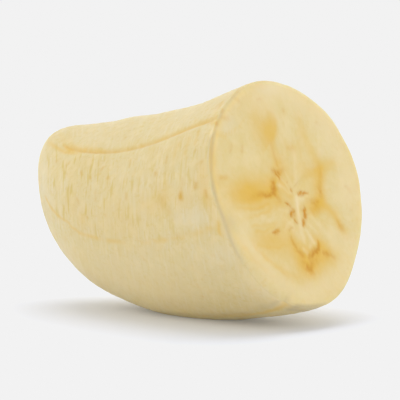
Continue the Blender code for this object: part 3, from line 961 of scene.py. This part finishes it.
notch = bandAt(rimLook["notchBand"]) * spotAt(rimLook["notchSpot"])
creaseShade = np.maximum(creaseShade, rimLook["notchShade"] * notch)
relief += heights["notch"] * notch
strip = within(rimAway, rimLook["strip"]) * bottomEdge
relief += heights["bottomEdge"] * bandAt(heights["bottomEdgeAt"]) * bottomEdge
shadeMarks = (
    ((0.016, -0.92, 0.28, 0.9), (0.026, -0.895, 0.35, 0.9), (0.045, -0.915, 0.55, 0.7),
     (0.08, -0.91, 0.8, 0.35)),
)
shade = screen(rimLook["stripShare"] * strip, paintSide(shadeMarks))
shade = screen(shade, rimLook["shadeShare"] * rimShade)

# the cut face
relief += heights["honey"] * honey + heights["brown"] * brown + heights["paleAndLit"] * paleAndLit * onCut
relief += heights["cutSwell"] * noiseAt(placesMm, "cutSwell") * onCut

points = basePoints + baseNormals * (relief * mm)[:, None]
# the slumped edge is rounded over, in the direction halfway between the side and the cut
rounded = {
    "depth": 0.80,
    "reach": 1.7,          # mm on either side of the edge
    "middle": 0.3,         # how much of the cut tells which way it faces
}
middleOfCut = onCut & (pointScale < rounded["middle"])
cutOut = baseNormals[middleOfCut].mean(axis=0)
cutOut /= np.linalg.norm(cutOut)
spoke = basePoints - basePoints[middleOfCut].mean(axis=0)
spoke -= (spoke @ cutOut)[:, None] * cutOut
spoke /= np.maximum(np.linalg.norm(spoke, axis=1), mm)[:, None]
rounding = rounded["depth"] * np.exp(-np.where(onCut, inset, behindRim) / rounded["reach"]) * shoulder
points -= (spoke + cutOut) / math.sqrt(2.0) * (rounding * mm)[:, None]
points[:, 2] = np.maximum(points[:, 2], 0.0)
fleshMesh.vertices.foreach_set("co", points.ravel())

# directions and distance from the core, for the streaks that run out from it
rays = {
    "core": (-1.0, -1.5),
    "nearest": 0.8,
    "fineness": 7.0,       # of the streaks, the way round
    "length": 5.0,
}
fromCore = cutPlane - np.array(rays["core"])
coreDistance = np.hypot(fromCore[:, 0], fromCore[:, 1])
outward = fromCore / np.maximum(coreDistance, rays["nearest"])[:, None]

onPoints = {
    "cutFace": cutShare,
    "honey": honey,
    "brown": np.clip(brown, 0.0, 1.0),
    "paleAndLit": paleAndLit,
    "gold": gold,
    "fleck": fleck,
    "cool": cool,
    "dashes": dashWeight,
    "creaseShade": creaseShade,
    "lip": lipLook["tint"] * lip,
    "shade": shade,
    "grain": grainPlaces,
    "ray": np.column_stack([outward * rays["fineness"], coreDistance / rays["length"]]),
}
for name, values in onPoints.items():
    kind, field = ("FLOAT", "value") if values.ndim == 1 else ("FLOAT_VECTOR", "vector")
    layer = fleshMesh.attributes.new(name, kind, "POINT")
    layer.data.foreach_set(field, values.astype(np.float32).ravel())

# where the side's strip and the two discs lie in the flat layout
layout = {
    "margin": 0.005,
    "stripWidth": 0.99,
    "stripHeight": 0.40,
    "cutMiddle": (0.285, 0.715),
    "cutRadius": 0.275,
    "tipMiddle": (0.780, 0.715),
    "tipRadius": 0.205,
}


def layDisc(uv, chosen, middle, radius, theta):
    uv[chosen, 0] = (middle[0] - radius * np.cos(theta))[chosen]
    uv[chosen, 1] = (middle[1] + radius * np.sin(theta))[chosen]


def layOut():
    # the side as a strip, each end as a disc
    layer = fleshMesh.uv_layers.new(name="OFBake")
    corners = np.empty(len(fleshMesh.loops), dtype=np.int32)
    fleshMesh.loops.foreach_get("vertex_index", corners)
    starts = np.empty(len(fleshMesh.polygons), dtype=np.int32)
    totals = np.empty(len(fleshMesh.polygons), dtype=np.int32)
    fleshMesh.polygons.foreach_get("loop_start", starts)
    fleshMesh.polygons.foreach_get("loop_total", totals)
    owner = np.repeat(np.arange(len(starts)), totals)
    # a face that touches the side belongs to the strip
    zones = pointZone[corners]
    lowest = np.minimum.reduceat(zones, starts)
    highest = np.maximum.reduceat(zones, starts)
    kind = np.where(lowest == highest, lowest, 1)[owner]
    # the corners of a face on the strip keep together where the angle starts again
    theta = pointTheta[corners]
    first = theta[starts][owner]
    theta = np.where(kind == 1, first + turnFrom(theta, first), theta)
    middle = (np.add.reduceat(theta, starts) / totals)[owner]
    theta -= np.where(kind == 1, np.floor((middle + math.pi) / math.tau) * math.tau, 0.0)
    uv = np.empty((len(corners), 2))
    uv[:, 0] = layout["margin"] + layout["stripWidth"] * (theta + math.pi) / math.tau
    uv[:, 1] = layout["margin"] + layout["stripHeight"] * fibreV[corners] / flesh["blossomFrom"]
    tip = np.ones(len(points))
    tip[pointZone == 2] = tipRadius
    layDisc(uv, kind == 0, layout["cutMiddle"], layout["cutRadius"] * pointScale[corners], theta)
    layDisc(uv, kind == 2, layout["tipMiddle"], layout["tipRadius"] * tip[corners], theta)
    layer.data.foreach_set("uv", uv.astype(np.float32).ravel())


def addObject(name, data):
    made = bpy.data.objects.new(name, data)
    bpy.context.scene.collection.objects.link(made)
    return made


layOut()
fleshMesh.update()
fleshMesh.shade_smooth()
bananaFlesh = addObject("bananaFlesh", fleshMesh)


def emptyTree(owner):
    owner.use_nodes = True
    owner.node_tree.nodes.clear()
    return owner.node_tree


def addNode(tree, kind, sockets=None, **settings):
    made = tree.nodes.new(kind)
    for name, value in settings.items():
        setattr(made, name, value)
    for socket, value in (sockets or {}).items():
        if isinstance(value, bpy.types.NodeSocket):
            tree.links.new(value, made.inputs[socket])
        else:
            made.inputs[socket].default_value = value
    return made


def painted(tree, name, output="Fac"):
    return addNode(tree, "ShaderNodeAttribute", attribute_name=name).outputs[output]


def blend(tree, amount, under, over):
    made = addNode(tree, "ShaderNodeMix", {0: amount, 6: under, 7: over}, data_type="RGBA")
    return made.outputs[2]


def sums(tree, operation, *values):
    made = addNode(tree, "ShaderNodeMath", dict(enumerate(values)), operation=operation)
    return made.outputs[0]


def spread(tree, value, begin, full, strength):
    sockets = {0: value, 1: begin, 2: full, 3: 0.0, 4: strength}
    return addNode(tree, "ShaderNodeMapRange", sockets, interpolation_type="SMOOTHSTEP").outputs[0]


def noiseOf(tree, place, scale, detail, roughness):
    sockets = {"Vector": place, "Scale": scale, "Detail": detail, "Roughness": roughness}
    return addNode(tree, "ShaderNodeTexNoise", sockets).outputs["Fac"]


def toned(red, green, blue):
    # a colour as a painter reads it, 0 to 255, into the linear light the shader works in
    def linear(value):
        value = value / 255.0
        return value / 12.92 if value <= 0.04045 else ((value + 0.055) / 1.055) ** 2.4
    return (linear(red), linear(green), linear(blue), 1.0)


tones = {
    "side": toned(217, 199, 149),
    "sideDeep": toned(216, 194, 134),
    "sidePale": toned(219, 203, 160),
    "dash": toned(211, 187, 114),
    "fleck": toned(208, 164, 60),
    "gold": toned(220, 182, 86),
    "cool": toned(221, 211, 182),
    # painted shade in the crease at the knife's edge, at the far rim and at the notch
    "creaseShade": toned(200, 183, 140),
    "lip": toned(227, 203, 136),
    "shade": toned(190, 173, 132),
    "cut": toned(220, 201, 146),
    "cutDeep": toned(218, 195, 128),
    "honey": toned(220, 176, 56),
    "brown": toned(203, 145, 30),
    # paler flesh, and also the tone of the painted light and highlights
    "paleAndLit": toned(229, 210, 162),
}

fleshFinish = {
    # noise: the places it follows, scale, detail, roughness
    "noises": {
        "broad": ("place", 160.0, 3.0, 0.5),
        "mottle": ("place", 620.0, 3.0, 0.5),
        "speckle": ("place", 1500.0, 2.0, 0.6),
        "fibres": ("grain", 1.0, 3.0, 0.6),
        "dashes": ("grain", 1.35, 1.0, 0.5),
        "rays": ("ray", 1.0, 3.0, 0.6),
    },
    # spots and streaks: the noise, where they begin, where they are full, strength, tone
    "sideSpots": (
        ("broad", 0.4, 0.75, 0.7, "sideDeep"),
        ("fibres", 0.5, 0.75, 0.6, "sideDeep"),
        ("fibres", 0.5, 0.32, 0.7, "sidePale"),
        ("dashes", 0.56, 0.72, 1.0, "dash"),
        ("speckle", 0.5, 0.72, 0.45, "dash"),
    ),
    "cutSpots": (
        ("broad", 0.4, 0.75, 0.5, "cutDeep"),
        ("rays", 0.48, 0.7, 0.6, "cutDeep"),
        ("speckle", 0.48, 0.72, 0.55, "cutDeep"),
    ),
    "bothSpots": (
        ("mottle", 0.45, 0.7, 0.3, "paleAndLit"),
    ),
    # what lies over them, from the bottom up
    "painted": ("lip", "creaseShade", "shade", "gold", "fleck", "honey", "paleAndLit", "brown"),
    "fibreBump": 0.4,
    "speckleBump": 0.5,
    "bump": {"Strength": 0.3, "Distance": 0.0002},
    "surface": {
        "Roughness": 0.55,
        "Specular IOR Level": 0.35,
        "Subsurface Weight": 0.5,
        "Subsurface Radius": (1.0, 0.75, 0.45),
        "Subsurface Scale": 0.003,
    },
}


def spotted(tree, tone, spots, looks):
    for name, begin, full, strength, over in spots:
        share = spread(tree, looks[name], begin, full, strength)
        if name == "dashes":
            share = sums(tree, "MULTIPLY", share, painted(tree, "dashes"))
        tone = blend(tree, share, tone, tones[over])
    return tone


def fleshMaterial():
    material = bpy.data.materials.new("bananaFlesh")
    tree = emptyTree(material)
    places = {
        "place": addNode(tree, "ShaderNodeTexCoord").outputs["Object"],
        "grain": painted(tree, "grain", "Vector"),
        "ray": painted(tree, "ray", "Vector"),
    }
    looks = {}
    for name, (place, scale, detail, roughness) in fleshFinish["noises"].items():
        looks[name] = noiseOf(tree, places[place], scale, detail, roughness)

    sideTone = spotted(tree, tones["side"], fleshFinish["sideSpots"], looks)
    cutTone = spotted(tree, tones["cut"], fleshFinish["cutSpots"], looks)
    tone = blend(tree, painted(tree, "cutFace"), sideTone, cutTone)
    tone = blend(tree, painted(tree, "cool"), tone, tones["cool"])
    tone = spotted(tree, tone, fleshFinish["bothSpots"], looks)
    for name in fleshFinish["painted"]:
        tone = blend(tree, painted(tree, name), tone, tones[name])

    height = sums(tree, "MULTIPLY_ADD", looks["fibres"], fleshFinish["fibreBump"], looks["mottle"])
    height = sums(tree, "MULTIPLY_ADD", looks["speckle"], fleshFinish["speckleBump"], height)
    bump = addNode(tree, "ShaderNodeBump", {"Height": height, **fleshFinish["bump"]})
    sockets = {"Base Color": tone, "Normal": bump.outputs[0], **fleshFinish["surface"]}
    shader = addNode(tree, "ShaderNodeBsdfPrincipled", sockets)
    addNode(tree, "ShaderNodeOutputMaterial", {"Surface": shader.outputs[0]})
    return material


print("finishing the piece")
fleshMesh.materials.append(fleshMaterial())
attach(bananaFlesh, "root")
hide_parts("banana_flesh")

studio = {
    "floorSide": 6.0,
    "floorTone": toned(229, 232, 240),
    "floorGlow": 0.085,
    "skyLow": 1.69,          # the walls round the table are lighter than the ceiling
    "skyHigh": 0.30,
    "sunStrength": 1.15,
    "sunWidth": math.radians(50.0),
    "sunTilt": (math.radians(-10.0), math.radians(-9.0), 0.0),
    "behind": toned(242, 242, 242),
}


def addFloor():
    half = studio["floorSide"] / 2.0
    corners = [(-half, -half, 0), (half, -half, 0), (half, half, 0), (-half, half, 0)]
    mesh = bpy.data.meshes.new("studioFloor")
    mesh.from_pydata(corners, [], [(0, 1, 2, 3)])
    material = bpy.data.materials.new("studioFloor")
    tree = emptyTree(material)
    paint = addNode(tree, "ShaderNodeBsdfDiffuse", {"Color": studio["floorTone"]})
    glow = addNode(tree, "ShaderNodeEmission", {"Strength": studio["floorGlow"]})
    both = addNode(tree, "ShaderNodeAddShader", {0: paint.outputs[0], 1: glow.outputs[0]})
    addNode(tree, "ShaderNodeOutputMaterial", {"Surface": both.outputs[0]})
    mesh.materials.append(material)
    floor = addObject("studioFloor", mesh)


def addSky():
    world = bpy.data.worlds.new("studioSky")
    bpy.context.scene.world = world
    tree = emptyTree(world)
    seen = addNode(tree, "ShaderNodeLightPath").outputs["Is Camera Ray"]
    toward = addNode(tree, "ShaderNodeTexCoord").outputs["Generated"]
    height = addNode(tree, "ShaderNodeSeparateXYZ", {0: toward}).outputs["Z"]
    sockets = {0: height, 3: studio["skyLow"], 4: studio["skyHigh"]}
    strength = addNode(tree, "ShaderNodeMapRange", sockets).outputs[0]
    lit = addNode(tree, "ShaderNodeBackground", {"Color": (1, 1, 1, 1), "Strength": strength})
    shown = addNode(tree, "ShaderNodeBackground", {"Color": studio["behind"], "Strength": 1.0})
    either = addNode(tree, "ShaderNodeMixShader", {0: seen, 1: lit.outputs[0], 2: shown.outputs[0]})
    addNode(tree, "ShaderNodeOutputWorld", {"Surface": either.outputs[0]})


def addSun():
    sun = bpy.data.lights.new("softSun", "SUN")
    sun.energy = studio["sunStrength"]
    sun.angle = studio["sunWidth"]
    lamp = addObject("softSun", sun)
    lamp.rotation_euler = studio["sunTilt"]


view = {
    "lens": 135.0,
    "sensor": 36.0,
    "clip": (0.01, 20.0),
    "azimuth": math.radians(42.82),
    "elevation": math.radians(3.1),
    "distance": 235.1 * mm,
    "aim": (2.49 * mm, 1.99 * mm, 17.59 * mm),
}


def addCamera():
    camera = bpy.data.cameras.new("studioCamera")
    camera.lens = view["lens"]
    camera.sensor_width = view["sensor"]
    camera.clip_start, camera.clip_end = view["clip"]
    holder = addObject("studioCamera", camera)
    level = math.cos(view["elevation"])
    back = Vector((
        math.sin(view["azimuth"]) * level,
        -math.cos(view["azimuth"]) * level,
        math.sin(view["elevation"]),
    ))
    holder.location = Vector(view["aim"]) + back * view["distance"]
    holder.rotation_euler = back.to_track_quat("Z", "Y").to_euler()
    bpy.context.scene.camera = holder


print("setting the studio")
addFloor()
addSky()
addSun()
addCamera()
display = bpy.context.scene.view_settings
display.view_transform = "Standard"
display.look = "None"
# nothing shows lighter than the backdrop
lightest = studio["behind"][0]
display.use_curve_mapping = True
display.curve_mapping.extend = "HORIZONTAL"
display.curve_mapping.curves[3].points[1].location = (lightest, lightest)
display.curve_mapping.update()
